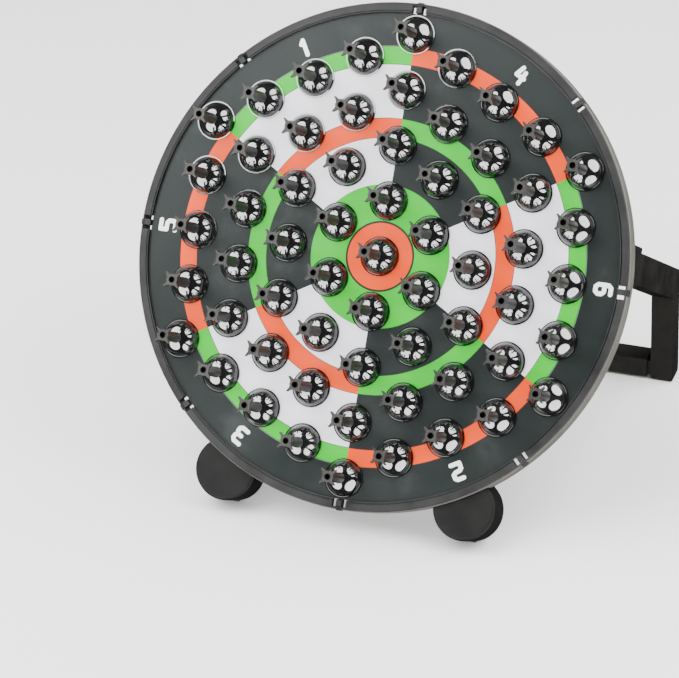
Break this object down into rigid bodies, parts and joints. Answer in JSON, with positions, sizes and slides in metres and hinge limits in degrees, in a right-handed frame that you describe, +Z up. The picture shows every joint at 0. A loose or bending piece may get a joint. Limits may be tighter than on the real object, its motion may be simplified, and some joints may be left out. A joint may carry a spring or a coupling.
{
  "type": "leaning dartboard with catch knobs",
  "caption": "Round leaning dartboard whose face of lattice-set domes and four-pronged hooks catches soft strand balls, with front feet and a plug-in rear stand.",
  "frame": {"origin": "middle of the bounding box on the floor", "axes": "+Z up, -Y the way the board faces, +X to the right of someone facing the board"},
  "size_m": [0.4078, 0.3336, 0.3657],
  "materials": {
    "shell_black": "fine moulded texture, warm black",
    "panel_black": "moulded black",
    "face_print": "printed sheet in black, green, orange and white",
    "ring_black": "satin black",
    "clip_black": "satin black",
    "dome_black": "polished black",
    "hook_black": "soft satin black",
    "foot_black": "satin black",
    "stand_black": "fine moulded texture, warm black",
    "rubber_black": "matt rubber",
    "fastener_steel": "zinc plated steel"
  },
  "bodies": {
    "board": {"target_panel": "panel_black", "face_sheet": "face_print", "front_ring": "ring_black", "back_shell": "shell_black", "rim_clip_1": "clip_black", "rim_clip_2": "clip_black", "rim_clip_3": "clip_black", "rim_clip_4": "clip_black", "rim_clip_5": "clip_black", "rim_clip_6": "clip_black", "rim_clip_7": "clip_black", "rim_clip_8": "clip_black", "knob_domes_ring_0": "dome_black", "catch_hooks_ring_0": "hook_black", "knob_domes_ring_1": "dome_black", "catch_hooks_ring_1": "hook_black", "knob_domes_ring_2": "dome_black", "catch_hooks_ring_2": "hook_black", "knob_domes_ring_3": "dome_black", "catch_hooks_ring_3": "hook_black", "knob_domes_ring_4": "dome_black", "catch_hooks_ring_4": "hook_black", "stud_retainers": "fastener_steel", "right_foot": "foot_black", "right_foot_pad": "rubber_black", "left_foot": "foot_black", "left_foot_pad": "rubber_black", "right_stand_socket": "stand_black", "left_stand_socket": "stand_black", "shell_screws": "fastener_steel", "socket_screws": "fastener_steel", "foot_screws": "fastener_steel"},
    "stand": {"right_stand_leg": "stand_black", "left_stand_leg": "stand_black", "stand_crossbar": "stand_black", "right_post_pad": "rubber_black", "left_post_pad": "rubber_black"}
  },
  "joints": [
    {"name": "stand_slide", "type": "slide", "parent": "board", "child": "stand", "axis": [0, 0.8241, -0.5664], "range_m": [0, 0.028]}
  ]
}
